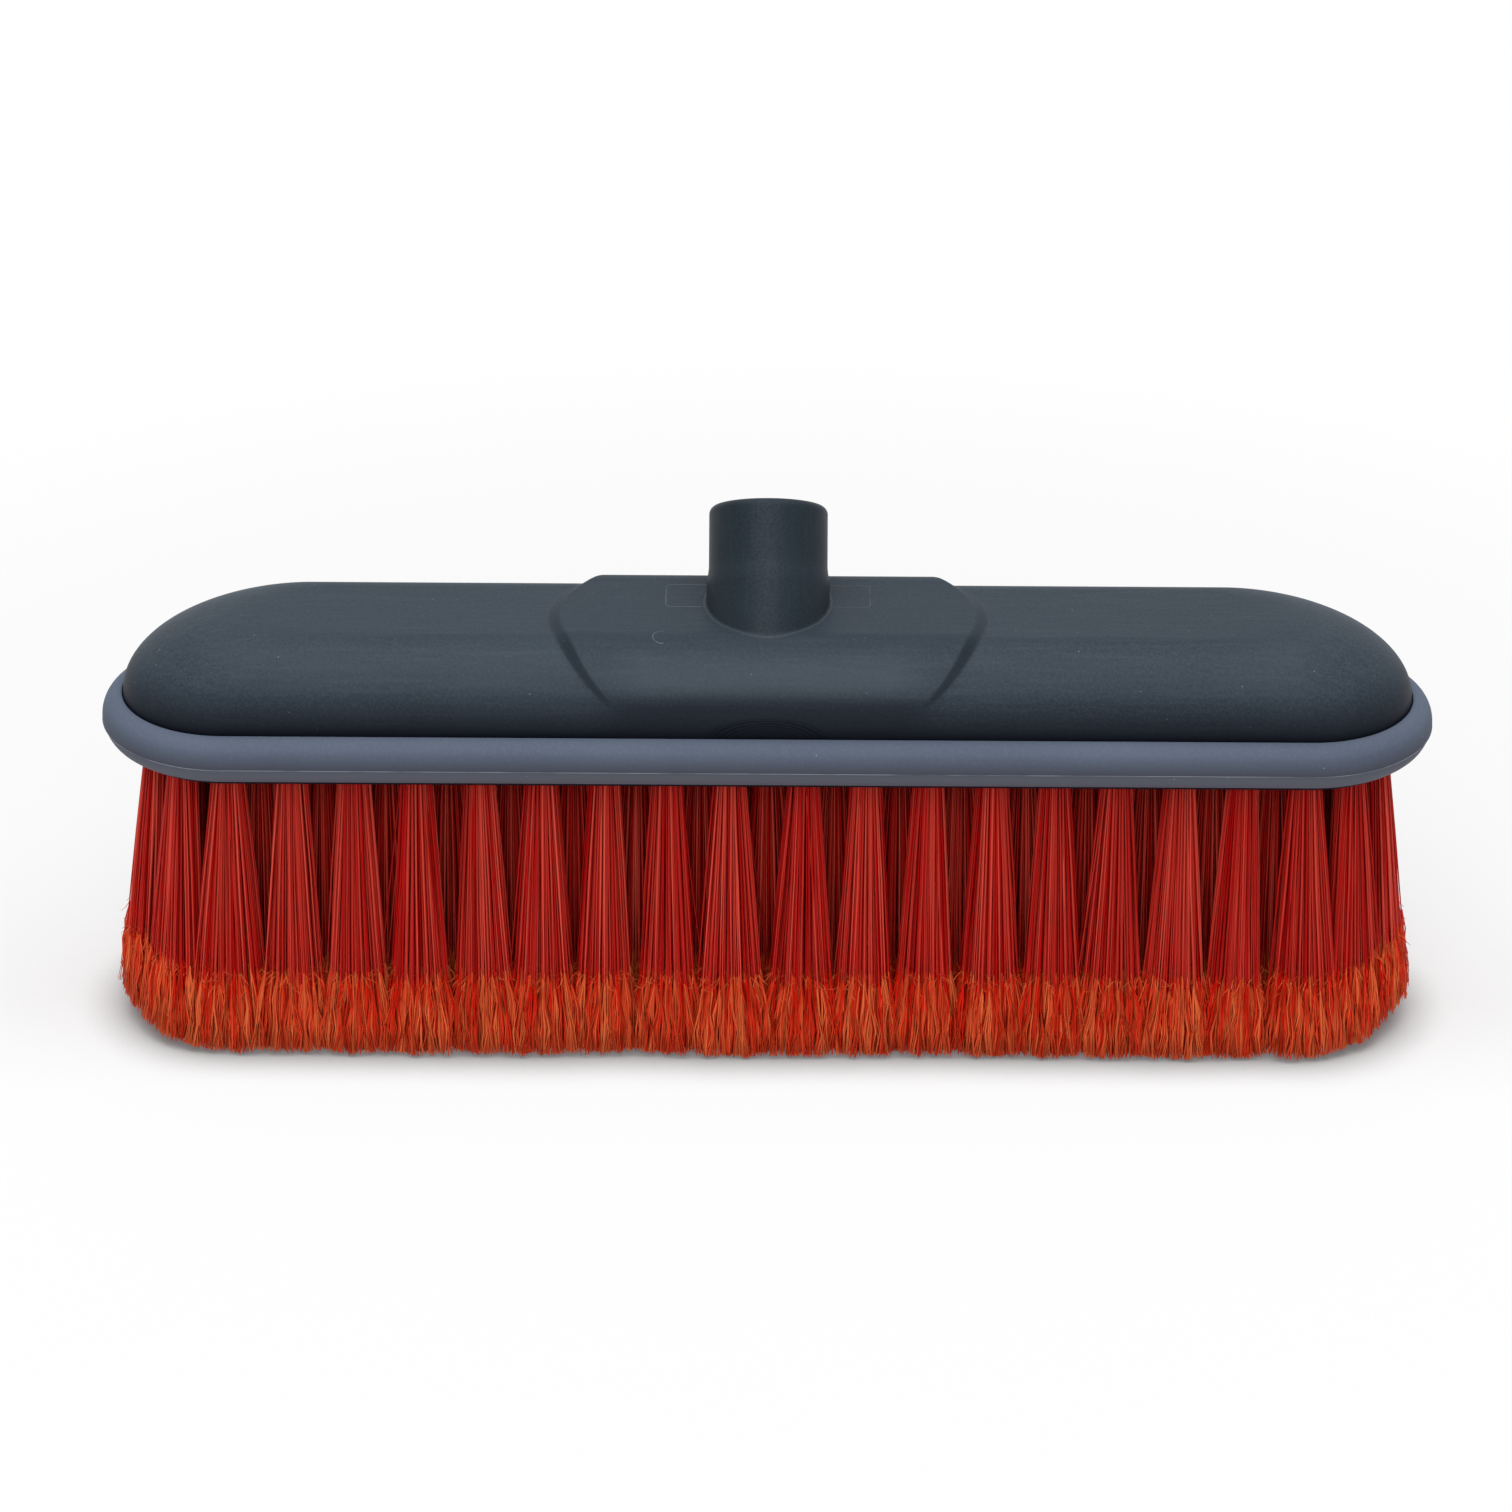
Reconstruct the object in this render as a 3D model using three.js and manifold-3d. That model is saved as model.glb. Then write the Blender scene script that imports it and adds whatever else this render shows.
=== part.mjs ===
import * as THREE from 'three';
import { mergeVertices } from 'three/addons/utils/BufferGeometryUtils.js';
import Module from 'manifold-3d';

const wasm = await Module();
wasm.setup();

// Washing brush head for solar panels, in millimetres. The bristle tips stand on z = 0, +Z is up,
// X runs along the brush, and -Y is its front. The handle socket leans back towards +Y.

// The block, one moulding with round ends: its outline at the seam where the bumper begins
const blockLength = 300;
const blockWidth = 50;
const trimLength = 69.4;
const rimHeight = 12.6;
const rimChamfer = 0.5;

// The crown above the seam: a low upright land, sides rounded over in a tall quarter ellipse into
// a long flat top, and ends that slope down in one long quarter ellipse
const crownRise = 20.5;
const crownWallHeight = 2;
const crownSideRun = 12.5;
const crownEndRun = 36.2;
const crownEndRatio = 1.1;

// The raised saddle that carries the socket, wrapped over the crown. Its ratios are shares of the
// girth from the front seam over the top to the rear seam, and of its own run for the fade
const saddleRise = 1.4;
const saddleWallFlare = 1.5;
const saddleWidest = 97;
const saddleToeWidth = 70;
const saddleHeelWidth = 44;
const saddleToeRatio = 0.1;
const saddleWidestRatio = 0.45;
const saddleHeelRatio = 0.9;
const saddleFadeRatio = 0.1;
const saddleSunk = 2;
const saddleEndSunk = 0.14;

// The handle socket and its blind bore
const socketTilt = 34;
const socketDiameter = 27.5;
const socketCollarStep = 0.5;
const socketCollarLength = 4;
const socketCollarSlope = 4.5;
const socketAxisOffset = 1.4;
const socketLength = 22.6;
const socketEdgeRound = 1.6;
const boreDiameter = 20.6;
const boreDepth = 38;
const boreMouthChamfer = 0.5;

// The bumper ring: a D in section, with a tongue that sits in the groove round the block
const bumperProud = 5;
const bumperHeight = 11.4;
const bumperLift = 0.1;
const skirtInset = 0.2;
const partingAngle = -9;
const grooveHeight = 6.4;
const grooveDepth = 2;
const grooveDrop = 2.4;
const fitGap = 0.3;

// The bristle field: rows of tufts set in the underside of the block
const tuftPitch = 14.5;
const centreGap = 17;
const outerRowInset = 8;
const rowsEachSide = 2;
const endTufts = 4;
const endFillInset = 8.5;
const endFillReach = 3;
const endFillRatio = 0.66;
const outerRowReach = 5.5;
const endTuftReach = 7;
const strandRootWidth = 1.2;
const strandRootOffset = 1.6;
const strandTipLength = 4.2;
const strandTipWidth = 3.4;
const tipGapAlong = 1.1;
const tipGapAcross = 0.35;
const tipTrim = 0.5;
const tipScallop = 1.5;
const endTipRise = 6;
const backingThickness = 2;
const backingInset = 3.8;
const fieldParts = 3;

// How far a cutting body runs past the face that it opens
const cutOverrun = 1;

// Faceting
const endSteps = 20;
const crownSteps = 12;
const saddleSteps = 26;
const socketSides = 36;
const socketEdgeSteps = 2;
const bumperSteps = 4;
const weldDistance = 0.0001;

// Sizes that follow from the driving ones
const seamHeight = trimLength + rimHeight;
const endCentre = (blockLength - blockWidth) / 2;
const blockRadius = blockWidth / 2;
const crownTop = seamHeight + crownRise;
const crownFlatHalfWidth = blockRadius - crownSideRun;
const crownFlatHalfLength = blockLength / 2 - crownEndRun;
const backingRadius = blockRadius - backingInset;
const outerRow = blockRadius - outerRowInset;
const rowPitch = outerRow / rowsEachSide;
const rowReach = outerRowReach / rowsEachSide;
const endFillPlace = endCentre + outerRow - endFillInset;
const strandTipAlong = (tuftPitch - tipGapAlong - strandTipLength) / 2;
const strandTipAcross = (rowPitch + rowReach - tipGapAcross - strandTipWidth) / 2;
const tuftsEachSide = Math.floor((endCentre - centreGap / 2) / tuftPitch) + 1;
const fieldSplit = centreGap / 2 + Math.round(tuftsEachSide / fieldParts) * tuftPitch - tuftPitch / 4;
const tilt = THREE.MathUtils.degToRad(socketTilt);
const socketFoot = new THREE.Vector3(0, socketAxisOffset, crownTop + saddleRise);

const mouldedPlastic = new THREE.MeshStandardMaterial({ color: 0x46505a, roughness: 0.62, metalness: 0 });
const bumperRubber = new THREE.MeshStandardMaterial({ color: 0x646f80, roughness: 0.7, metalness: 0 });
const bristleFibre = new THREE.MeshStandardMaterial({ color: 0xc8382a, roughness: 0.5, metalness: 0 });

function solidFrom(geometry) {
  const bare = geometry.clone();
  bare.deleteAttribute('normal');
  bare.deleteAttribute('uv');
  const merged = mergeVertices(bare, weldDistance);
  const vertProperties = new Float32Array(merged.attributes.position.array);
  const triVerts = new Uint32Array(merged.index.array);
  return new wasm.Manifold(new wasm.Mesh({ numProp: 3, vertProperties, triVerts }));
}

function geometryFrom(solid) {
  const mesh = solid.getMesh();
  const geometry = new THREE.BufferGeometry();
  geometry.setAttribute('position', new THREE.BufferAttribute(mesh.vertProperties, 3));
  geometry.setIndex(new THREE.BufferAttribute(mesh.triVerts, 1));
  geometry.computeVertexNormals();
  return geometry;
}

function namedMesh(name, solid, material) {
  const mesh = new THREE.Mesh(geometryFrom(solid), material);
  mesh.name = name;
  return mesh;
}

// A flat ring of points with straight sides and elliptic ends, counter-clockwise from above
function racetrackRing(halfLength, halfWidth, endReach, z) {
  const ring = [];
  for (const side of [1, -1]) {
    for (let i = 0; i <= endSteps; i += 1) {
      const angle = -Math.PI / 2 + (Math.PI * i) / endSteps;
      const x = halfLength - endReach + endReach * Math.cos(angle);
      ring.push(new THREE.Vector3(side * x, side * halfWidth * Math.sin(angle), z));
    }
  }
  return ring;
}

// The racetrack ring that stands a given distance outside the line joining the two end centres
function outlineRing(radius, z) {
  return racetrackRing(endCentre + radius, radius, radius, z);
}

// A skin over rings of equal count: capped at both ends, or joined last to first
function loft(rings, closed) {
  const count = rings[0].length;
  const points = rings.flat();
  const index = [];
  const spans = closed ? rings.length : rings.length - 1;
  for (let i = 0; i < spans; i += 1) {
    const lower = i * count;
    const upper = ((i + 1) % rings.length) * count;
    for (let j = 0; j < count; j += 1) {
      const next = (j + 1) % count;
      index.push(lower + j, lower + next, upper + next);
      index.push(lower + j, upper + next, upper + j);
    }
  }
  if (!closed) {
    const top = (rings.length - 1) * count;
    for (let j = 1; j < count - 1; j += 1) {
      index.push(0, j + 1, j);
      index.push(top, top + j, top + j + 1);
    }
  }
  const geometry = new THREE.BufferGeometry().setFromPoints(points);
  geometry.setIndex(index);
  return solidFrom(geometry);
}

// The block from its underside to the crown, with the bumper's groove run round it
function blockBody() {
  const grooveTop = seamHeight - grooveDrop;
  const grooveBottom = grooveTop - grooveHeight;
  const rings = [
    outlineRing(blockRadius - rimChamfer, trimLength),
    outlineRing(blockRadius, trimLength + rimChamfer),
    outlineRing(blockRadius, grooveBottom),
    outlineRing(blockRadius - grooveDepth, grooveBottom),
    outlineRing(blockRadius - grooveDepth, grooveTop),
    outlineRing(blockRadius, grooveTop),
  ];
  for (let i = 0; i <= crownSteps; i += 1) {
    const angle = (Math.PI / 2) * (i / crownSteps);
    const rise = crownRise * Math.sin(angle);
    const overWall = Math.max(0, rise - crownWallHeight) / (crownRise - crownWallHeight);
    const halfWidth = crownFlatHalfWidth + crownSideRun * Math.sqrt(1 - Math.min(1, overWall * overWall));
    const halfLength = crownFlatHalfLength + crownEndRun * Math.cos(angle);
    const endReach = halfWidth * THREE.MathUtils.lerp(1, crownEndRatio, Math.sin(angle));
    rings.push(racetrackRing(halfLength, halfWidth, endReach, seamHeight + rise));
  }
  return loft(rings, false);
}

// The section of the crown from the front seam over the top to the rear seam, as (y, z)
function crownGirth() {
  const flat = crownFlatHalfWidth;
  const wallTop = seamHeight + crownWallHeight;
  const roundRise = crownRise - crownWallHeight;
  const girth = new THREE.Path();
  girth.moveTo(-blockRadius, seamHeight);
  girth.lineTo(-blockRadius, wallTop);
  girth.absellipse(-flat, wallTop, crownSideRun, roundRise, Math.PI, Math.PI / 2, true);
  girth.lineTo(flat, crownTop);
  girth.absellipse(flat, wallTop, crownSideRun, roundRise, Math.PI / 2, 0, true);
  girth.lineTo(blockRadius, seamHeight);
  return girth;
}

// Half the saddle's width at a station: two parabolas that meet where it is widest
function saddleHalfWidth(station) {
  const inFront = station < saddleWidestRatio;
  const edge = inFront ? saddleToeRatio : saddleHeelRatio;
  const edgeWidth = inFront ? saddleToeWidth : saddleHeelWidth;
  const away = (saddleWidestRatio - station) / (saddleWidestRatio - edge);
  return (saddleWidest - (saddleWidest - edgeWidth) * away * away) / 2;
}

// The saddle: a strip lofted over the crown, with flared side walls, that fades out at toe and heel
function saddleBody() {
  const girth = crownGirth();
  const rings = [];
  for (let i = 0; i <= saddleSteps; i += 1) {
    const share = i / saddleSteps;
    const station = THREE.MathUtils.lerp(saddleToeRatio, saddleHeelRatio, share);
    const onCrown = girth.getPointAt(station);
    const along = girth.getTangentAt(station);
    const outward = new THREE.Vector2(-along.y, along.x);
    const fade = Math.min(1, Math.min(share, 1 - share) / saddleFadeRatio);
    const rise = THREE.MathUtils.lerp(-saddleEndSunk, saddleRise, fade);
    const top = onCrown.clone().addScaledVector(outward, rise);
    const foot = onCrown.clone().addScaledVector(outward, -saddleSunk);
    const topHalf = saddleHalfWidth(station);
    const footHalf = topHalf + saddleWallFlare * (1 + saddleSunk / saddleRise);
    rings.push([
      new THREE.Vector3(-footHalf, foot.x, foot.y),
      new THREE.Vector3(-topHalf, top.x, top.y),
      new THREE.Vector3(topHalf, top.x, top.y),
      new THREE.Vector3(footHalf, foot.x, foot.y),
    ]);
  }
  return loft(rings, false);
}

// A turned shape about the socket's axis; heights run along the axis from its foot on the saddle
function turnedAboutSocket(profile) {
  const geometry = new THREE.LatheGeometry(profile, socketSides);
  geometry.rotateX(Math.PI / 2 - tilt);
  geometry.translate(socketFoot.x, socketFoot.y, socketFoot.z);
  return solidFrom(geometry);
}

function socketBody() {
  const radius = socketDiameter / 2;
  const collarRadius = radius + socketCollarStep;
  const root = -radius;
  const profile = new THREE.Path();
  profile.moveTo(0, root);
  profile.lineTo(collarRadius, root);
  profile.lineTo(collarRadius, socketCollarLength);
  profile.lineTo(radius, socketCollarLength + socketCollarSlope);
  profile.lineTo(radius, socketLength - socketEdgeRound);
  profile.absarc(radius - socketEdgeRound, socketLength - socketEdgeRound, socketEdgeRound, 0, Math.PI / 2);
  profile.lineTo(0, socketLength);
  return turnedAboutSocket(profile.getPoints(socketEdgeSteps));
}

function boreBody() {
  const radius = boreDiameter / 2;
  const profile = [
    new THREE.Vector2(0, socketLength - boreDepth),
    new THREE.Vector2(radius, socketLength - boreDepth),
    new THREE.Vector2(radius, socketLength - boreMouthChamfer),
    new THREE.Vector2(radius + boreMouthChamfer + cutOverrun, socketLength + cutOverrun),
    new THREE.Vector2(0, socketLength + cutOverrun),
  ];
  return turnedAboutSocket(profile);
}

// The shallow pocket in the underside that the tufted backing sits in
function backingPocket() {
  const radius = backingRadius + fitGap;
  const roof = trimLength + backingThickness + fitGap;
  return loft([outlineRing(radius, trimLength - cutOverrun), outlineRing(radius, roof)], false);
}

function makeStock() {
  const solid = blockBody().add(saddleBody()).add(socketBody()).subtract(boreBody()).subtract(backingPocket());
  return namedMesh('stock', solid, mouldedPlastic);
}

// The bumper, swept round the block: tongue, back, bulge, parting step and skirt
function makeBumper() {
  const back = blockRadius + fitGap;
  const tongueTop = seamHeight - grooveDrop - fitGap;
  const tongueBottom = tongueTop - grooveHeight + 2 * fitGap;
  const tongueRadius = blockRadius - grooveDepth + fitGap;
  const top = seamHeight + bumperLift;
  const middle = top - bumperHeight / 2;
  const bulge = bumperProud - fitGap;
  const parting = THREE.MathUtils.degToRad(partingAngle);
  const section = new THREE.Path();
  section.moveTo(tongueRadius, tongueBottom);
  section.lineTo(back, tongueBottom);
  section.lineTo(back, top - bumperHeight);
  section.absellipse(back, middle, bulge - skirtInset, bumperHeight / 2, -Math.PI / 2, parting);
  section.absellipse(back, middle, bulge, bumperHeight / 2, parting, Math.PI / 2);
  section.lineTo(back, tongueTop);
  section.lineTo(tongueRadius, tongueTop);
  const rings = section.getPoints(bumperSteps).map((point) => outlineRing(point.x, point.y));
  return namedMesh('bumper', loft(rings, true), bumperRubber);
}

// Where the tufts of one straight row stand along X; every second row is staggered by half a pitch
function rowPlaces(staggered) {
  const places = staggered ? [0] : [];
  const shift = staggered ? 0.5 : 0;
  for (let i = 0; i < tuftsEachSide - (staggered ? 1 : 0); i += 1) {
    const x = centreGap / 2 + (i + shift) * tuftPitch;
    places.push(-x, x);
  }
  return places;
}

// A straight tuft fans about upright lines; its outer rows lean away from the middle
function straightTuft(x, row, tipX, size) {
  return {
    x,
    size,
    root: (along, across) => new THREE.Vector2(x + along, row * rowPitch + across),
    tip: (along, across) => new THREE.Vector2(tipX + along, row * (rowPitch + rowReach) + across),
  };
}

// An end tuft fans about lines that lean outwards from the centre of the round end
function endTuft(side, angle) {
  const polar = (along, across, radius) => {
    const turned = angle - along / radius;
    const reach = radius + across;
    return new THREE.Vector2(side * (endCentre + reach * Math.cos(turned)), side * reach * Math.sin(turned));
  };
  return {
    x: side * endCentre,
    size: 1,
    root: (along, across) => polar(along, across, outerRow),
    tip: (along, across) => polar(along, across, outerRow + endTuftReach),
  };
}

// Every tuft of the brush: straight rows, an arc round each end, and a narrow one inside each arc
function allTufts() {
  const tufts = [];
  for (let row = -rowsEachSide; row <= rowsEachSide; row += 1) {
    for (const x of rowPlaces(row % 2 !== 0)) {
      tufts.push(straightTuft(x, row, x, 1));
    }
  }
  for (const side of [-1, 1]) {
    for (let i = 1; i <= endTufts; i += 1) {
      tufts.push(endTuft(side, -Math.PI / 2 + (Math.PI * i) / (endTufts + 1)));
    }
    tufts.push(straightTuft(side * endFillPlace, 0, side * (endFillPlace + endFillReach), endFillRatio));
  }
  return tufts;
}

// The height of a strand's end: each tuft is a little scalloped, the brush's ends rise, and what
// would reach below the floor is trimmed flat on it
function tipHeight(alongShare, acrossShare, x) {
  const scallop = tipScallop * (alongShare * alongShare + acrossShare * acrossShare) / 2;
  const pastEnd = Math.max(0, Math.abs(x) - endCentre) / blockRadius;
  return Math.max(0, scallop - tipTrim + endTipRise * pastEnd * pastEnd);
}

// One strand as eight points: the corners of its end, then of its root on the backing's face
function strandPoints(tuft, alongSide, acrossSide) {
  const ends = [];
  const roots = [];
  const alongMost = strandTipAlong + strandTipLength / 2;
  const acrossMost = strandTipAcross + strandTipWidth / 2;
  for (const [i, j] of [[-0.5, -0.5], [0.5, -0.5], [0.5, 0.5], [-0.5, 0.5]]) {
    const along = alongSide * strandTipAlong + i * strandTipLength;
    const across = acrossSide * strandTipAcross + j * strandTipWidth;
    const end = tuft.tip(along * tuft.size, across * tuft.size);
    const rootAlong = alongSide * strandRootOffset + i * strandRootWidth;
    const rootAcross = acrossSide * strandRootOffset + j * strandRootWidth;
    const root = tuft.root(rootAlong, rootAcross);
    ends.push(new THREE.Vector3(end.x, end.y, tipHeight(along / alongMost, across / acrossMost, end.x)));
    roots.push(new THREE.Vector3(root.x, root.y, trimLength));
  }
  return [...ends, ...roots];
}

// All strands of some tufts in one geometry, each a closed four-sided body that widens to its end
function strandBodies(tufts) {
  const faces = [[0, 2, 1], [0, 3, 2], [4, 5, 6], [4, 6, 7]];
  for (let i = 0; i < 4; i += 1) {
    const next = (i + 1) % 4;
    faces.push([i, next, 4 + next], [i, 4 + next, 4 + i]);
  }
  const points = [];
  const index = [];
  for (const tuft of tufts) {
    for (const [along, across] of [[0, 0], [-1, -1], [1, -1], [1, 1], [-1, 1]]) {
      const first = points.length;
      points.push(...strandPoints(tuft, along, across));
      index.push(...faces.flat().map((corner) => first + corner));
    }
  }
  const geometry = new THREE.BufferGeometry().setFromPoints(points);
  geometry.setIndex(index);
  return solidFrom(geometry);
}

// One length of the tufted face with its strands, between two places along X
function makeBristles(name, fromX, toX) {
  const tufts = allTufts().filter((tuft) => tuft.x > fromX && tuft.x < toX);
  const face = loft([
    outlineRing(backingRadius, trimLength),
    outlineRing(backingRadius, trimLength + backingThickness),
  ], false);
  const stretch = new THREE.BoxGeometry(toX - fromX - fitGap, blockWidth, 2 * (backingThickness + cutOverrun));
  stretch.translate((fromX + toX) / 2, 0, trimLength);
  const solid = face.intersect(solidFrom(stretch)).add(strandBodies(tufts));
  return namedMesh(name, solid, bristleFibre);
}

const brushHead = new THREE.Group();
brushHead.add(makeStock());
brushHead.add(makeBumper());
brushHead.add(makeBristles('left_bristles', -blockLength, -fieldSplit));
brushHead.add(makeBristles('middle_bristles', -fieldSplit, fieldSplit));
brushHead.add(makeBristles('right_bristles', fieldSplit, blockLength));

export default brushHead;
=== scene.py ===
import math

import bmesh
import bpy
import numpy as np
from mathutils import Matrix, Vector


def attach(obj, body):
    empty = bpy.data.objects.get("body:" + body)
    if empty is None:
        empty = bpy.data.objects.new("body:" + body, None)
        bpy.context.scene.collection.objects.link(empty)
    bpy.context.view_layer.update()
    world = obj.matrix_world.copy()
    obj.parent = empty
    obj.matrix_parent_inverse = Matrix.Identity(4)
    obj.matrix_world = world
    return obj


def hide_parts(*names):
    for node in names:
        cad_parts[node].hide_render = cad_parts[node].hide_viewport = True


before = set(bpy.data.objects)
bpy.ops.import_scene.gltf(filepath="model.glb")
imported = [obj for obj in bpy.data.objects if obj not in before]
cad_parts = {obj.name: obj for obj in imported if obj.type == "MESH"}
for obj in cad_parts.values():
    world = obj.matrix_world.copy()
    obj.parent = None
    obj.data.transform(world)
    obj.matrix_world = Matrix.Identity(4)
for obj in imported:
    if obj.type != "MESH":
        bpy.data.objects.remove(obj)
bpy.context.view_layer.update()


# === The white paper and the studio ===
# The brush stands on its tips on a sheet of white paper. A broad softbox hangs over it, a small
# one stands in front, and the camera looks down at its front from a little over a metre away.

mm = 0.001


def tone(red, green, blue):
    """A colour as it is seen on a screen, from 0 to 255, made linear for a shader."""
    steps = [channel / 255 for channel in (red, green, blue)]
    linear = [((s + 0.055) / 1.055) ** 2.4 if s > 0.04045 else s / 12.92 for s in steps]
    return (*linear, 1.0)


def set_out(name, data):
    """A new object in the scene: a mesh, a lamp or the camera."""
    made = bpy.data.objects.new(name, data)
    bpy.context.scene.collection.objects.link(made)
    return made


def finish_named(name):
    """A new material and its surface shader."""
    material = bpy.data.materials.new(name)
    material.use_nodes = True
    return material, material.node_tree.nodes["Principled BSDF"]


def feed(tree, socket, value):
    """Sets a socket to a plain value, or joins another node's output to it."""
    if isinstance(value, bpy.types.NodeSocket):
        tree.links.new(value, socket)
    else:
        socket.default_value = value


def node(tree, kind, inputs, **settings):
    """One shader node with its settings, and its inputs by name or number."""
    made = tree.nodes.new("ShaderNode" + kind)
    for name, value in settings.items():
        setattr(made, name, value)
    for name, value in inputs.items():
        feed(tree, made.inputs[name], value)
    return made


def sum_of(tree, operation, first, second=0.0, third=0.0):
    """One step of arithmetic on numbers."""
    return node(tree, "Math", {0: first, 1: second, 2: third}, operation=operation).outputs[0]


def times(tree, first, *others):
    """Numbers multiplied together."""
    for other in others:
        first = sum_of(tree, "MULTIPLY", first, other)
    return first


def blend_of(tree, share, first, second):
    """Two colours mixed by a share."""
    return node(tree, "Mix", {0: share, 6: first, 7: second}, data_type="RGBA").outputs[2]


def ramp_of(tree, value, low, high):
    """A number that rises smoothly from 0 to 1 as value goes from low to high."""
    made = node(tree, "MapRange", {0: value, 1: low, 2: high}, interpolation_type="SMOOTHSTEP")
    return made.outputs[0]


def range_of(tree, value, low, high, at_low=0.0, at_high=1.0):
    """A number that goes straight from at_low to at_high as value goes from low to high."""
    return node(tree, "MapRange", {0: value, 1: low, 2: high, 3: at_low, 4: at_high}).outputs[0]


def noise_of(tree, place, scale, detail):
    """A soft random cloud, from 0 to 1."""
    made = node(tree, "TexNoise", {"Vector": place, "Scale": scale, "Detail": detail})
    return made.outputs["Fac"]


def place_on(tree):
    """A point's place on its object, in metres, which every pattern is laid out by."""
    return node(tree, "TexCoord", {}).outputs["Object"]


def seen_plainly(tree):
    """1 for the rays that see paper and room as plain white: camera, glossy and glass rays."""
    path = node(tree, "LightPath", {}).outputs
    seen = sum_of(tree, "MAXIMUM", path["Is Camera Ray"], path["Is Glossy Ray"])
    return sum_of(tree, "MAXIMUM", seen, path["Is Transmission Ray"])


paper_half = 8.0
paper_drop = 0.2 * mm
contact_reach = 14 * mm
shadow_front = -45 * mm
shadow_inner, shadow_outer = 0.14, 0.4

bm = bmesh.new()
bmesh.ops.create_grid(bm, x_segments=1, y_segments=1, size=paper_half)
bmesh.ops.translate(bm, verts=bm.verts, vec=(0, 0, -paper_drop))
paper_mesh = bpy.data.meshes.new("white_paper")
bm.to_mesh(paper_mesh)
bm.free()
white_paper = set_out("white_paper", paper_mesh)

# Far from the brush the paper is seen as pure white. Nearer, more of the real paper and its shadow
# comes through, most of all behind the brush, and a painted contact shadow dims the white where the
# tips touch it.
paper_finish, paper_shader = finish_named("white_paper")
tree = paper_finish.node_tree
place = place_on(tree)
fibre = noise_of(tree, place, 900.0, 4.0)
seen = seen_plainly(tree)
paper_colour = blend_of(tree, fibre, tone(236, 236, 236), tone(242, 242, 242))
paper_colour = blend_of(tree, seen, tone(240, 240, 240), paper_colour)
feed(tree, paper_shader.inputs["Base Color"], paper_colour)
paper_shader.inputs["Roughness"].default_value = 0.95
paper_shader.inputs["Specular IOR Level"].default_value = 0.0
distance = node(tree, "VectorMath", {0: place}, operation="LENGTH").outputs["Value"]
depth = node(tree, "SeparateXYZ", {0: place}).outputs[1]
near = range_of(tree, depth, shadow_front, 0.0, 0.92, 0.5)
far = range_of(tree, distance, shadow_inner, shadow_outer, near, 1.0)
# Painted contact shadow: the white glow is dimmed by ambient occlusion near the tips.
painted_contact_shadow = node(tree, "AmbientOcclusion", {"Distance": contact_reach}, samples=12).outputs["AO"]
glow = range_of(tree, painted_contact_shadow, 0.42, 0.97, 0.18, 1.0)
white = node(tree, "Emission", {"Color": (1, 1, 1, 1), "Strength": glow}).outputs[0]
share = times(tree, far, seen)
laid = node(tree, "MixShader", {0: share, 1: paper_shader.outputs[0], 2: white}).outputs[0]
tree.links.new(laid, tree.nodes["Material Output"].inputs["Surface"])
paper_mesh.materials.append(paper_finish)

room = bpy.data.worlds.new("studio_room")
bpy.context.scene.world = room
room.use_nodes = True
tree = room.node_tree
dim = node(tree, "Background", {"Color": (1, 1, 1, 1), "Strength": 0.2}).outputs[0]
white = node(tree, "Background", {"Color": (1, 1, 1, 1), "Strength": 1.0}).outputs[0]
sky = node(tree, "MixShader", {0: seen_plainly(tree), 1: dim, 2: white}).outputs[0]
tree.links.new(sky, tree.nodes["World Output"].inputs["Surface"])


def softbox(name, place, aim, width, depth, power):
    """A rectangular softbox at a place, turned to face a point."""
    lamp = bpy.data.lights.new(name, "AREA")
    lamp.shape = "RECTANGLE"
    lamp.size = width
    lamp.size_y = depth
    lamp.energy = power
    box = set_out(name, lamp)
    box.location = place
    box.rotation_euler = (Vector(aim) - Vector(place)).to_track_quat("-Z", "Y").to_euler()


softbox("softbox_overhead", place=(0, -0.15, 1.5), aim=(0, -0.15, 0),
        width=2.2, depth=1.9, power=27.0)
softbox("softbox_front", place=(-0.15, -1.35, 1.3), aim=(0, 0, 0.05),
        width=0.9, depth=0.7, power=6.0)

camera_rise = math.radians(26.3)
camera_roll = math.radians(0.35)
camera_distance = 1300 * mm
aim_height = 82 * mm

lens = bpy.data.cameras.new("camera")
lens.sensor_width = 36
lens.lens = 132.9
lens.shift_x = -0.0076
lens.shift_y = -0.0433
lens.clip_end = 50
camera = set_out("camera", lens)
turn = Matrix.Rotation(math.pi / 2 - camera_rise, 4, "X") @ Matrix.Rotation(camera_roll, 4, "Z")
stand = Vector((0, -math.cos(camera_rise), math.sin(camera_rise))) * camera_distance
camera.matrix_world = Matrix.Translation(stand + Vector((0, 0, aim_height))) @ turn
bpy.context.scene.camera = camera
bpy.context.scene.view_settings.view_transform = "Standard"


# === The moulded block ===
# One thick moulding of filled polypropylene: a long crown with rounded shoulders and sloping ends,
# a low saddle over its middle, a groove round it for the bumper, and drilled holes for the tufts.
# Lengths are in mm from here on, and become metres where a mesh or a pattern is placed.

end_centre = 125
block_radius = 25
face_height, face_chamfer = 69.4, 0.5
groove_low, groove_high, groove_radius = 73.2, 79.6, 23
seam_height = 82
crown_rise = 20.5
crown_wall = 2
crown_side_run = 12.5
crown_end_run = 36.2
crown_end_ratio = 1.1
shoulder_steps, top_steps = 45, 14
flat_half_width = block_radius - crown_side_run
saddle_rise = 1.4
saddle_edge_round = 0.7
saddle_wall = 2.4
saddle_widest = 97
saddle_toe_width = 65.2
saddle_heel_width = 44
saddle_toe, saddle_middle, saddle_heel = 0.07, 0.45, 0.9
saddle_fade = 0.12
saddle_fullness, fullness_width = 0.7, 10
socket_tilt = math.radians(34)
socket_setback = 1.4
socket_foot = Vector((0, socket_setback, seam_height + crown_rise + saddle_rise))
socket_axis = Vector((0, math.sin(socket_tilt), math.cos(socket_tilt)))
sharp_angle = math.radians(38)


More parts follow.
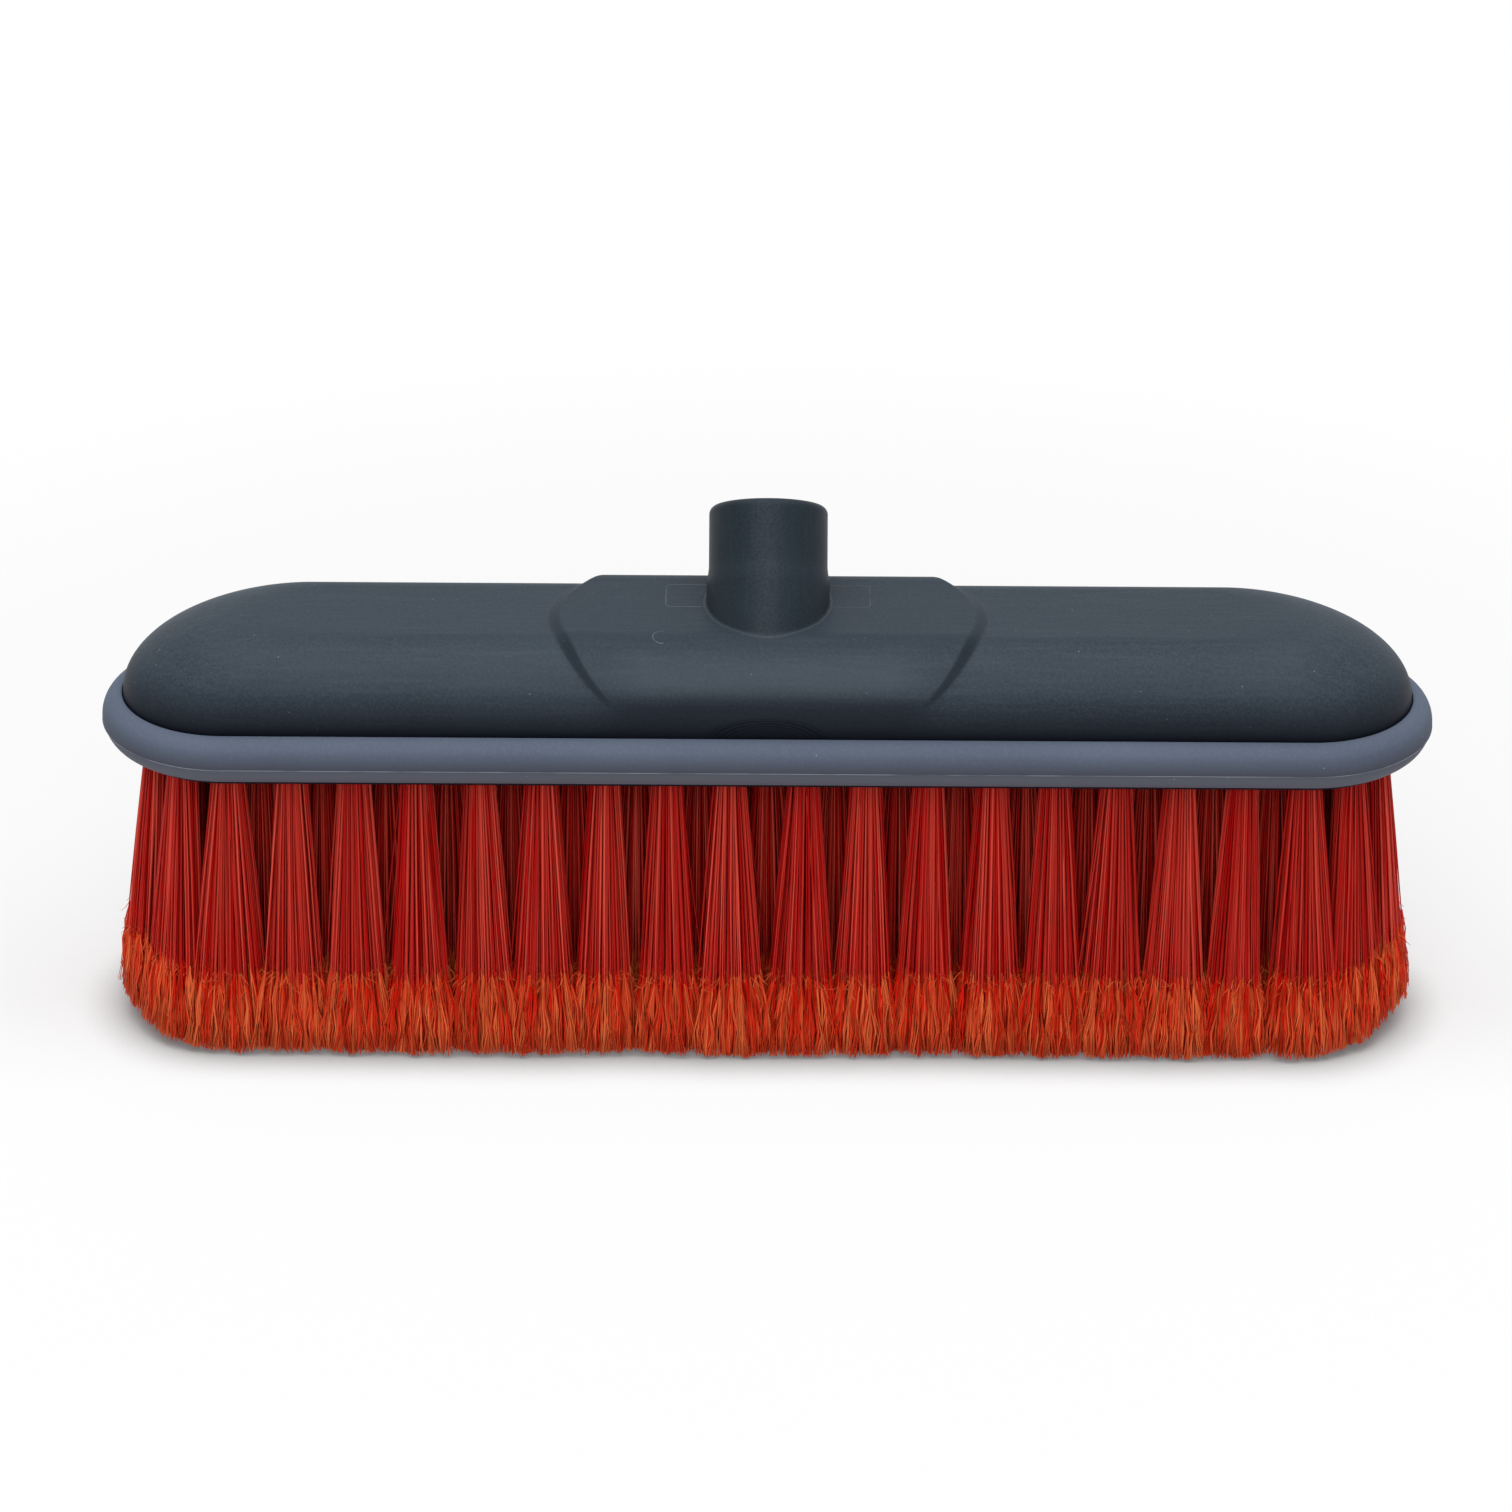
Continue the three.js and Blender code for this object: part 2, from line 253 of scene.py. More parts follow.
def wrapped_sheet(bm, around, along, lay):
    """A fine grid laid over a form. lay() gives the points in mm for steps around and along it."""
    sheet = bmesh.new()
    bmesh.ops.create_grid(sheet, x_segments=around, y_segments=along, size=1.0)
    mesh = bpy.data.meshes.new("sheet")
    sheet.to_mesh(mesh)
    sheet.free()
    flat = np.empty(len(mesh.vertices) * 3)
    mesh.vertices.foreach_get("co", flat)
    steps = flat.reshape(-1, 3)
    u = np.rint((steps[:, 0] + 1) / 2 * around).astype(int)
    v = np.rint((steps[:, 1] + 1) / 2 * along).astype(int)
    mesh.vertices.foreach_set("co", (lay(u, v) * mm).ravel())
    bm.from_mesh(mesh)
    bpy.data.meshes.remove(mesh)


def smooth_fall(value, start, end):
    """Falls smoothly from 1 at start to 0 at end."""
    share = np.clip((value - start) / (end - start), 0, 1)
    return 1 - share * share * (3 - 2 * share)


def piece_of(bm, name, finish, slot, *nodes):
    """Welds a form, turns its faces outwards, and makes it a smooth piece of the brush."""
    bmesh.ops.remove_doubles(bm, verts=bm.verts, dist=0.002 * mm)
    bmesh.ops.dissolve_degenerate(bm, edges=bm.edges, dist=0.001 * mm)
    bmesh.ops.recalc_face_normals(bm, faces=bm.faces)
    for face in bm.faces:
        face.smooth = True
    for edge in bm.edges:
        if len(edge.link_faces) == 2 and edge.calc_face_angle(0) > sharp_angle:
            edge.smooth = False
    mesh = bpy.data.meshes.new(name)
    bm.to_mesh(mesh)
    bm.free()
    mesh.materials.append(finish)
    piece = set_out(name, mesh)
    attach(piece, "root")
    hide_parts(*nodes)


# The block's foot, as radius and height: the tufted face, its chamfer, and the bumper's groove
foot_rings = [(block_radius - face_chamfer, face_height),
              (block_radius, face_height + face_chamfer),
              (block_radius, groove_low), (groove_radius, groove_low),
              (groove_radius, groove_high), (block_radius, groove_high)]


def crown_rings():
    """The block's rings from its underside to the middle line of its top: straight half length,
    end reach, half width, height, girth from the seam, and the shoulder's outward direction."""
    rings = [[end_centre, radius, radius, height, 0, 1, 0] for radius, height in foot_rings]
    round_rise = crown_rise - crown_wall
    girth, last = 0.0, (block_radius, 0.0)
    for step in range(shoulder_steps + 1):
        angle = math.pi / 2 * step / shoulder_steps
        up = crown_rise * math.sin(angle)
        over = max(0.0, up - crown_wall) / round_rise
        half = flat_half_width + crown_side_run * math.sqrt(max(0.0, 1 - over * over))
        length = end_centre + block_radius - crown_end_run * (1 - math.cos(angle))
        reach = half * (1 + (crown_end_ratio - 1) * math.sin(angle))
        girth += math.hypot(half - last[0], up - last[1])
        last = (half, up)
        out = Vector(((half - flat_half_width) / crown_side_run ** 2, over / round_rise))
        out.normalize()
        rings.append([length - reach, reach, half, seam_height + up, girth, out.x, out.y])
    straight = rings[-1][0]
    for step in range(1, top_steps + 1):
        half = flat_half_width * (1 - step / top_steps)
        reach = half * crown_end_ratio
        inward = girth + flat_half_width - half
        rings.append([straight, reach, half, seam_height + crown_rise, inward, 0, 1])
    return np.array(rings)


# Columns of the sheet, which crowd about the saddle's edge at these distances from it
edge_offsets = np.array([-4.5, -3, -2, -1.3, -0.8, -0.4, 0, 0.35, 0.7, 1.05, 1.4, 1.8, 2.4, 3.4, 5])
inner_columns, outer_columns, end_columns = 34, 22, 72
half_columns = inner_columns + len(edge_offsets) + outer_columns
side_columns = 2 * half_columns
rings = crown_rings()
whole_girth = 2 * rings[-1, 4]


def saddle_half(station):
    """Half the saddle's width at a share of the girth from the front seam to the rear one."""
    front = station < saddle_middle
    away = (saddle_middle - station) / (saddle_middle - np.where(front, saddle_toe, saddle_heel))
    narrowing = saddle_widest - np.where(front, saddle_toe_width, saddle_heel_width)
    return (saddle_widest - narrowing * away * away) / 2


def saddle_height(station, half):
    """How far the saddle stands off the crown along its middle: fading out at toe and heel, and
    fullest over the crown's shoulder, where 16 brings the hump's top to 1."""
    share = (station - saddle_toe) / (saddle_heel - saddle_toe)
    over = np.clip((half - flat_half_width) / fullness_width, 0, 1)
    fuller = saddle_rise + saddle_fullness * 16 * (over * (1 - over)) ** 2
    return fuller * (1 - smooth_fall(np.minimum(share, 1 - share), 0, saddle_fade))


def lay_block(u, v):
    """Columns follow the saddle's edge along both sides, and fan round the two ends."""
    straight, reach, half, height, girth, out_y, out_z = rings[v].T
    turn = side_columns + end_columns
    u = u % (2 * turn)
    facing = np.where(u < turn, 1, -1)
    along = u % turn
    column = np.minimum(along, side_columns) - half_columns
    station = np.where(facing > 0, girth, whole_girth - girth) / whole_girth
    edge = saddle_half(station)
    count = np.abs(column)
    past = count - inner_columns
    inner = count / (inner_columns + 1) * (edge + edge_offsets[0])
    near = edge + edge_offsets[np.clip(past - 1, 0, len(edge_offsets) - 1)]
    share = np.clip((past - len(edge_offsets)) / outer_columns, 0, 1)
    outer = (edge + edge_offsets[-1]) * (1 - share) + straight * share
    x = np.where(past <= 0, inner, np.where(past <= len(edge_offsets), near, outer))
    swell = saddle_height(station, half) * smooth_fall(x - edge, -saddle_edge_round, saddle_wall)
    angle = math.pi * (along - side_columns) / end_columns
    at_end = along > side_columns
    end_x = straight + reach * np.sin(angle)
    end_y = -half * np.cos(angle)
    points = np.empty((len(u), 3))
    points[:, 0] = facing * np.where(at_end, end_x, np.sign(column) * x)
    points[:, 1] = facing * np.where(at_end, end_y, -half - swell * out_y)
    points[:, 2] = height + np.where(at_end, 0, swell * out_z)
    return points


# The tufts' places: five rows, an arc of four round each end, and one more inside each arc
tuft_pitch, row_pitch = 14.5, 8.5
tufts_each_side = 9
centre_gap = 17
outer_row = 17
inside_arc = 133.5


def row_places(row):
    """Where the tufts of one straight row stand along the brush; odd rows are staggered."""
    staggered = row % 2 != 0
    places = range(tufts_each_side - staggered)
    steps = [centre_gap / 2 + (i + 0.5 * staggered) * tuft_pitch for i in places]
    return sorted([-x for x in steps] + [0] * staggered + steps)


end_angles = [math.radians(-90 + 36 * i) for i in range(1, 5)]
hole_places = [(x, row * row_pitch) for row in range(-2, 3) for x in row_places(row)]
hole_places += [(side * inside_arc, 0) for side in (-1, 1)]
for side in (-1, 1):
    for angle in end_angles:
        x = end_centre + outer_row * math.cos(angle)
        hole_places.append((side * x, outer_row * math.sin(angle)))

block = bmesh.new()
wrapped_sheet(block, 2 * (side_columns + end_columns), len(rings) - 1, lay_block)
bmesh.ops.remove_doubles(block, verts=block.verts, dist=0.002 * mm)

# The well under the socket: the skin inside its wall is opened and carried down into the block
well_radius, well_depth = 12.2, 18
deepest_skin = -12
lowest_rim = 90
under_socket = []
for face in block.faces:
    place = face.calc_center_median() / mm - socket_foot
    off_axis = place - socket_axis * place.dot(socket_axis)
    if place.z > deepest_skin and off_axis.length < well_radius:
        under_socket.append(face)
bmesh.ops.delete(block, geom=under_socket, context="FACES")
rim = [e for e in block.edges if e.is_boundary and e.verts[0].co.z > lowest_rim * mm]
grown = bmesh.ops.extrude_edge_only(block, edges=rim)["geom"]
lowered = [g for g in grown if isinstance(g, bmesh.types.BMVert)]
bmesh.ops.translate(block, verts=lowered, vec=-socket_axis * well_depth * mm)
bmesh.ops.holes_fill(block, edges=[g for g in grown if isinstance(g, bmesh.types.BMEdge)], sides=0)

# The tufted face: holes with a small lip, left in the sheet that closes the underside
hole_radius, hole_lip, hole_depth, hole_sides = 3.6, 0.35, 7, 20
lip_radius = hole_radius + hole_lip
face_edges = [e for e in block.edges if e.is_boundary]
for x, y in hole_places:
    spot = Matrix.Translation((x * mm, y * mm, face_height * mm))
    ring = bmesh.ops.create_circle(block, segments=hole_sides, radius=lip_radius * mm, matrix=spot)
    edges = list({e for v in ring["verts"] for e in v.link_edges})
    face_edges += edges
    for lift, size in ((hole_lip, hole_radius / lip_radius), (hole_depth, 1)):
        grown = bmesh.ops.extrude_edge_only(block, edges=edges)["geom"]
        verts = [g for g in grown if isinstance(g, bmesh.types.BMVert)]
        edges = [g for g in grown if isinstance(g, bmesh.types.BMEdge)]
        bmesh.ops.scale(block, verts=verts, vec=(size, size, 1), space=spot.inverted())
        bmesh.ops.translate(block, verts=verts, vec=(0, 0, lift * mm))
    bmesh.ops.holes_fill(block, edges=edges, sides=0)
bmesh.ops.triangle_fill(block, use_beauty=True, edges=face_edges, normal=(0, 0, -1))


def tinted(tree, colour, share, strength, tint):
    """A tint laid over a colour by a share, at a strength."""
    return blend_of(tree, times(tree, share, strength), colour, tint)


def dusted(tree, place, colour, scale, size, rarity, strength, tint):
    """A few pale specks of dust: round spots in the middle of some cells of a pattern."""
    dust = node(tree, "TexVoronoi", {"Vector": place, "Scale": scale})
    speck = sum_of(tree, "LESS_THAN", dust.outputs["Distance"], size)
    rare = node(tree, "SeparateXYZ", {0: dust.outputs["Color"]}).outputs[0]
    speck = times(tree, speck, sum_of(tree, "GREATER_THAN", rare, rarity))
    return tinted(tree, colour, speck, strength, tint)


def relieved(tree, shader, relief, strength, depth):
    """Gives a finish a fine relief, of a depth in mm."""
    bump = node(tree, "Bump", {"Strength": strength, "Distance": depth * mm, "Height": relief})
    feed(tree, shader.inputs["Normal"], bump.outputs[0])


def apart(tree, across, along):
    """The length of a step on a flat pattern, from its two numbers."""
    step = node(tree, "CombineXYZ", {0: across, 1: along}).outputs[0]
    return node(tree, "VectorMath", {0: step}, operation="LENGTH").outputs["Value"]


def beyond(tree, value, middle, half):
    """How far a number lies past a band about its middle."""
    away = sum_of(tree, "ABSOLUTE", sum_of(tree, "SUBTRACT", value, middle))
    return sum_of(tree, "MAXIMUM", sum_of(tree, "SUBTRACT", away, half), 0.0)


moulded_plastic, shader = finish_named("moulded_plastic")
tree = moulded_plastic.node_tree
place = place_on(tree)
spot = node(tree, "SeparateXYZ", {0: place}).outputs
mirrored = sum_of(tree, "ABSOLUTE", spot[0])
cloud = noise_of(tree, place, 16.0, 3.0)
grain = noise_of(tree, place, 1700.0, 5.0)
spark = node(tree, "TexVoronoi", {"Vector": place, "Scale": 2600.0}).outputs["Distance"]
flow = node(tree, "Mapping", {"Vector": place, "Scale": (55.0, 900.0, 900.0)}).outputs[0]
streak = noise_of(tree, flow, 1.0, 4.0)
colour = blend_of(tree, ramp_of(tree, cloud, 0.3, 0.7), tone(49, 59, 69), tone(55, 66, 76))
colour = tinted(tree, colour, ramp_of(tree, grain, 0.35, 0.75), 0.35, tone(82, 91, 99))
colour = tinted(tree, colour, ramp_of(tree, streak, 0.45, 0.7), 0.18, tone(80, 88, 96))
colour = dusted(tree, place, colour, 350.0, 0.045, 0.65, 0.6, tone(176, 182, 188))

# The mould's own marks: a thin rounded outline each side of the socket, fainter on the right, and
# one curled scratch on the saddle
line_half = 0.1 * mm
outline_x, outline_y = 18.75 * mm, 5.2 * mm
outline_half_x, outline_half_y, outline_round = 3.4 * mm, 4.5 * mm, 1.5 * mm
scratch_x, scratch_y, scratch_radius = -24.2 * mm, -16.2 * mm, 2.1 * mm
scratch_end = -23.8 * mm
saddle_skin = 96 * mm
outline = apart(tree, beyond(tree, mirrored, outline_x, outline_half_x),
                beyond(tree, spot[1], outline_y, outline_half_y))
outline = sum_of(tree, "COMPARE", outline, outline_round, line_half)
outline = times(tree, outline, range_of(tree, spot[0], -mm, mm, 1.0, 0.65))
scratch = apart(tree, sum_of(tree, "SUBTRACT", spot[0], scratch_x),
                sum_of(tree, "SUBTRACT", spot[1], scratch_y))
scratch = sum_of(tree, "COMPARE", scratch, scratch_radius, line_half)
scratch = times(tree, scratch, sum_of(tree, "LESS_THAN", spot[0], scratch_end))
marks = sum_of(tree, "MAXIMUM", outline, scratch)
on_top = sum_of(tree, "GREATER_THAN", spot[2], saddle_skin)
marks = times(tree, marks, on_top, ramp_of(tree, streak, 0.25, 0.6))
colour = tinted(tree, colour, marks, 0.75, tone(132, 141, 148))

# Painted light and shade: a paler band of painted sheen along the front shoulder, painted shade on
# the flanks and toe where the saddle turns away, and painted shade high on the saddle and down by
# the seam
# Painted sheen: a paler band over the shoulder, where the light catches it.
painted_sheen = range_of(tree, mirrored, 38 * mm, 28 * mm, 0.2, 0.5)
painted_sheen = times(tree, painted_sheen, ramp_of(tree, spot[2], 90 * mm, 95.5 * mm),
             ramp_of(tree, spot[2], 104.5 * mm, 97 * mm),
             ramp_of(tree, mirrored, 134 * mm, 112 * mm))
colour = blend_of(tree, painted_sheen, colour, tone(86, 95, 104))
# Painted shade on the saddle's flanks, darker as the surface turns sideways away from the light.
normal = node(tree, "NewGeometry", {}).outputs["Normal"]
sideways = sum_of(tree, "ABSOLUTE", node(tree, "SeparateXYZ", {0: normal}).outputs[0])
on_saddle = sum_of(tree, "LESS_THAN", mirrored, 60 * mm)
painted_flank_shade = times(tree, ramp_of(tree, sideways, 0.05, 0.42), on_saddle)
colour = tinted(tree, colour, painted_flank_shade, 0.55, tone(32, 39, 48))
# Painted shade on the saddle's toe, low on the front.
low_down = ramp_of(tree, spot[2], 94 * mm, 89 * mm)
painted_toe_shade = times(tree, ramp_of(tree, mirrored, 42 * mm, 30 * mm), low_down)
colour = tinted(tree, colour, painted_toe_shade, 0.5, tone(32, 39, 48))
# Painted shade: the skin high on the saddle is darker.
painted_top_shade = ramp_of(tree, spot[2], 99.8 * mm, 104.4 * mm)
colour = tinted(tree, colour, painted_top_shade, 0.5, tone(38, 47, 56))
# Painted shade: darker down towards the seam, where the bumper shuts out the light.
painted_seam_shade = range_of(tree, spot[2], 93 * mm, 82.5 * mm)
colour = blend_of(tree, painted_seam_shade, colour, tone(17, 20, 31))

# The flow mark over the gate at the front: dark ripples round the middle of the seam
gate_half_width, gate_rise = 14.2 * mm, 5.2 * mm
gate_front = -20 * mm
ripple_rate = 56.0
above_seam = sum_of(tree, "SUBTRACT", spot[2], seam_height * mm)
wave = apart(tree, sum_of(tree, "DIVIDE", spot[0], gate_half_width),
             sum_of(tree, "DIVIDE", above_seam, gate_rise))
wave = sum_of(tree, "ADD", wave, times(tree, streak, 0.14))
gate = times(tree, ramp_of(tree, wave, 1.14, 0.9), sum_of(tree, "LESS_THAN", spot[1], gate_front))
ripple = sum_of(tree, "SINE", times(tree, wave, ripple_rate))
ripple = times(tree, ripple, gate, ramp_of(tree, wave, 0.3, 1.0))
gate = times(tree, gate, range_of(tree, ripple, -1.0, 1.0, 0.2, 0.85))
colour = blend_of(tree, gate, colour, tone(11, 13, 21))

feed(tree, shader.inputs["Base Color"], colour)
feed(tree, shader.inputs["Roughness"], range_of(tree, cloud, 0.0, 1.0, 0.46, 0.56))
shader.inputs["Specular IOR Level"].default_value = 0.08
relief = sum_of(tree, "ADD", times(tree, spark, 0.7), grain)
relief = sum_of(tree, "ADD", relief, times(tree, streak, 0.5))
relief = sum_of(tree, "ADD", relief, times(tree, ripple, 2.0))
relieved(tree, shader, relief, 0.6, 0.05)
piece_of(block, "moulded_block", moulded_plastic, "moulded_plastic", "stock")


# === The handle socket ===
# The same moulding, drawn up into a leaning collar with a soft foot, a rounded mouth and a coarse
# thread inside. It is laid round its own axis, with its foot on the saddle's skin. Its wall is
# smoother than the block and painted darker as painted shade, with faint draw lines and one streak
# of painted sheen down its front.

collar_radius = 14.25
socket_radius = 13.75
collar_top, collar_end = 4, 8.5
socket_length = 22.6
socket_root = -17
root_radii = (0, 6, 13)
edge_round = 1.9
bore_radius = 10.3
bore_floor = -15.4
floor_radii = (bore_radius, 5, 0)
mouth_chamfer, mouth_flat = 0.5, 1.0
foot_bead = [(-1.2, -1.2), (0.75, -0.3), (0.75, 0.08), (0.7, 0.22), (0.58, 0.3), (0.4, 0.32),
             (0.2, 0.33), (0.08, 0.38), (0.02, 0.48), (0, 0.62)]
thread_pitch, thread_depth = 4.2, 1.1
thread_lead, thread_runout, thread_fade = 2.2, 9, 3
socket_sides = 96
wall_steps, round_steps, bore_steps = 24, 12, 110
crown_skin = rings[len(foot_rings):]
skin_lift = saddle_height(crown_skin[:, 4] / whole_girth, crown_skin[:, 2])
front_y = -crown_skin[:, 2] - skin_lift * crown_skin[:, 5]
front_z = crown_skin[:, 3] + skin_lift * crown_skin[:, 6]


def skin_height(y):
    """The height of the saddle's skin at a distance from the middle line."""
    return np.interp(-np.abs(y), front_y, front_z)


def on_axis(angle, radius, height):
    """Points round the socket's axis: the angle, the radius and the height up it from its foot."""
    side = Vector((0, math.cos(socket_tilt), -math.sin(socket_tilt)))
    points = np.outer(height, socket_axis) + np.array(socket_foot)
    points += np.outer(radius * np.sin(angle), side)
    points[:, 0] += radius * np.cos(angle)
    return points


def skin_meets(angle, radius):
    """The height along the axis where a line beside it goes through the saddle's skin."""
    height = np.zeros(len(angle))
    for _ in range(8):
        points = on_axis(angle, radius, height)
        height += (skin_height(points[:, 1]) - points[:, 2]) / socket_axis.z
    return height


as_given, at_foot, in_bore, on_wall = range(4)


def socket_profile():
    """Rows of radius, height and kind: as given, at the foot as steps out from the wall and up from
    the skin, in the threaded bore as given, or on the wall as shares of its height."""
    rows = [(radius, socket_root, as_given) for radius in root_radii]
    rows += [(out, lift, at_foot) for out, lift in foot_bead]
    rows += [(0, step / wall_steps, on_wall) for step in range(1, wall_steps)]
    for step in range(round_steps + 1):
        angle = math.pi / 2 * step / round_steps
        inward, down = edge_round * (1 - math.cos(angle)), edge_round * (1 - math.sin(angle))
        rows.append((socket_radius - inward, socket_length - down, as_given))
    rows.append((bore_radius + mouth_flat, socket_length, as_given))
    rows.append((bore_radius + mouth_chamfer, socket_length, as_given))
    bore_top = socket_length - mouth_chamfer
    for step in range(bore_steps):
        height = bore_top - (bore_top - bore_floor) * step / bore_steps
        rows.append((bore_radius, height, in_bore))
    rows += [(radius, bore_floor, as_given) for radius in floor_radii]
    return np.array(rows)


def wall_radius(height):
    """The socket's outer radius: a little thicker round its foot."""
    thicker = smooth_fall(height, collar_top, collar_end)
    return socket_radius + (collar_radius - socket_radius) * thicker


profile = socket_profile()


def lay_socket(u, v):
    """The profile turned about the axis, its foot let down onto the skin, the thread as a helix."""
    radius, height, kind = profile[v].T
    angle = 2 * math.pi * (u % socket_sides) / socket_sides
    wall = wall_radius(skin_meets(angle, np.full(len(u), collar_radius)))
    foot = skin_meets(angle, wall) + foot_bead[-1][1]
    wall_height = foot + (socket_length - edge_round - foot) * height
    bead = wall + radius
    bead_height = height + skin_meets(angle, bead)
    radius = np.select([kind == at_foot, kind == on_wall], [bead, wall_radius(wall_height)], radius)
    height = np.select([kind == at_foot, kind == on_wall], [bead_height, wall_height], height)
    phase = np.abs(((height / thread_pitch + angle / (2 * math.pi)) % 1) - 0.5) * 2
    ridge = smooth_fall(phase, 0.25, 0.6) * thread_depth
    from_mouth = np.clip((socket_length - thread_lead - height) / thread_fade, 0, 1)
    from_floor = np.clip((height - bore_floor - thread_runout) / thread_fade, 0, 1)
    radius = radius - np.where(kind == in_bore, ridge * from_mouth * from_floor, 0)
    return on_axis(angle, radius, height)


socket = bmesh.new()
wrapped_sheet(socket, socket_sides, len(profile) - 1, lay_socket)

shaded_socket_plastic, shader = finish_named("shaded_socket_plastic")
tree = shaded_socket_plastic.node_tree
foot_turned = Matrix.Rotation(socket_tilt, 3, "X") @ socket_foot * -mm
upright = node(tree, "Mapping", {"Vector": place_on(tree), "Location": foot_turned,
                                 "Rotation": (socket_tilt, 0, 0)}).outputs[0]
spot = node(tree, "SeparateXYZ", {0: upright}).outputs
cloud = noise_of(tree, upright, 60.0, 3.0)
grain = noise_of(tree, upright, 2200.0, 5.0)
drawn = node(tree, "Mapping", {"Vector": upright, "Scale": (1100.0, 1100.0, 90.0)}).outputs[0]
lines = noise_of(tree, drawn, 1.0, 4.0)
# Painted shade: the socket's tones are darker than the block's, though it is the same plastic.
colour = blend_of(tree, ramp_of(tree, cloud, 0.3, 0.7), tone(32, 41, 49), tone(37, 46, 54))
colour = tinted(tree, colour, ramp_of(tree, grain, 0.35, 0.75), 0.35, tone(54, 63, 71))
colour = tinted(tree, colour, ramp_of(tree, lines, 0.45, 0.7), 0.1, tone(62, 71, 79))
# Painted sheen: a paler streak down the socket's front.
streak_x, streak_half = -0.6 * mm, 5.2 * mm
off_centre = sum_of(tree, "ABSOLUTE", sum_of(tree, "SUBTRACT", spot[0], streak_x))
painted_sheen = ramp_of(tree, off_centre, streak_half, 0.5 * mm)
painted_sheen = times(tree, painted_sheen, ramp_of(tree, grain, 0.25, 0.65), sum_of(tree, "LESS_THAN", spot[1], 0.0))
colour = tinted(tree, colour, painted_sheen, 0.17, tone(78, 86, 94))
# Painted highlight: a paler ring on the bead round the socket's foot.
painted_foot_highlight = ramp_of(tree, apart(tree, spot[0], spot[1]), 14.4 * mm, 14.8 * mm)
colour = tinted(tree, colour, painted_foot_highlight, 0.3, tone(84, 96, 105))
feed(tree, shader.inputs["Base Color"], colour)
feed(tree, shader.inputs["Roughness"], range_of(tree, cloud, 0.0, 1.0, 0.42, 0.52))
shader.inputs["Specular IOR Level"].default_value = 0.1
relieved(tree, shader, sum_of(tree, "ADD", times(tree, lines, 0.8), grain), 0.5, 0.04)
piece_of(socket, "handle_socket", shaded_socket_plastic, "moulded_plastic", "stock")


# === The bumper ===
# A soft rubber ring moulded over the block's groove: a D in section, with the mould's parting line
# and its thread of flash just below the widest place, and a slightly set back skirt under that.

bumper_back = 25.3
bumper_middle = 76.4
bumper_bulge = 4.7
bumper_half = 5.7
bumper_foot, foot_land = 70.9, 0.5
tongue_low, tongue_high, tongue_radius = 73.5, 79.3, 23.3
skirt_inset = 0.2
flash_rise = 0.13
bumper_side, bumper_end = 40, 80


def bumper_section():
    """The ring's section from the tongue's foot, under the skirt, out and up over the bulge. Its
    outside is given as degrees round the D, and how far each point stands out from it."""
    skirt = [-86, -80, -74, -68, -62, -56, -50, -44, -38, -32, -26, -20, -15, -12, -10.6]
    flash = [(-10.2, flash_rise * 0.6), (-9.6, flash_rise), (-9, flash_rise * 0.4), (-8.4, 0)]
    upper = [-6, -2, 2, 7, 13, 20, 27, 34, 41, 48, 55, 62, 69, 76, 82, 87]
    outside = [(degrees, -skirt_inset) for degrees in skirt] + flash
    outside += [(degrees, 0) for degrees in upper]
    rows = [(tongue_radius, tongue_low), (bumper_back, tongue_low)]
    rows += [(bumper_back, bumper_foot + foot_land), (bumper_back, bumper_foot)]
    for degrees, proud in outside:
        angle = math.radians(degrees)
        reach = (bumper_bulge + proud) * math.cos(angle)
        rows.append((bumper_back + reach, bumper_middle + bumper_half * math.sin(angle)))
    rows += [(bumper_back, seam_height), (bumper_back, tongue_high), (tongue_radius, tongue_high)]
    return np.array(rows)


section = bumper_section()


def lay_bumper(u, v):
    """The section carried round two straight sides and two round ends."""
    radius, height = section[v % len(section)].T
    turn = bumper_side + bumper_end
    u = u % (2 * turn)
    facing = np.where(u < turn, 1, -1)
    along = u % turn
    angle = math.pi * np.clip((along - bumper_side) / bumper_end, 0, 1)
    x = end_centre * (2 * np.minimum(along, bumper_side) / bumper_side - 1) + radius * np.sin(angle)
    return np.stack([facing * x, -facing * radius * np.cos(angle), height], axis=1)


bumper = bmesh.new()
wrapped_sheet(bumper, 2 * (bumper_side + bumper_end), len(section), lay_bumper)

bumper_rubber, shader = finish_named("bumper_rubber")
tree = bumper_rubber.node_tree
place = place_on(tree)
height = node(tree, "SeparateXYZ", {0: place}).outputs[2]
cloud = noise_of(tree, place, 22.0, 3.0)
grain = noise_of(tree, place, 1500.0, 5.0)
flash_height, flash_half = 75.48 * mm, 0.09 * mm
colour = blend_of(tree, ramp_of(tree, cloud, 0.3, 0.7), tone(87, 97, 115), tone(93, 104, 122))
colour = tinted(tree, colour, ramp_of(tree, grain, 0.4, 0.8), 0.3, tone(112, 121, 137))
# Painted shade: the bumper darkens from its top down towards its underside.
painted_underside_shade = range_of(tree, height, 80.2 * mm, 76 * mm)
colour = tinted(tree, colour, painted_underside_shade, 0.85, tone(71, 74, 86))
skirt = ramp_of(tree, height, 75.6 * mm, 75.3 * mm)
colour = tinted(tree, colour, skirt, 0.85, tone(94, 98, 110))
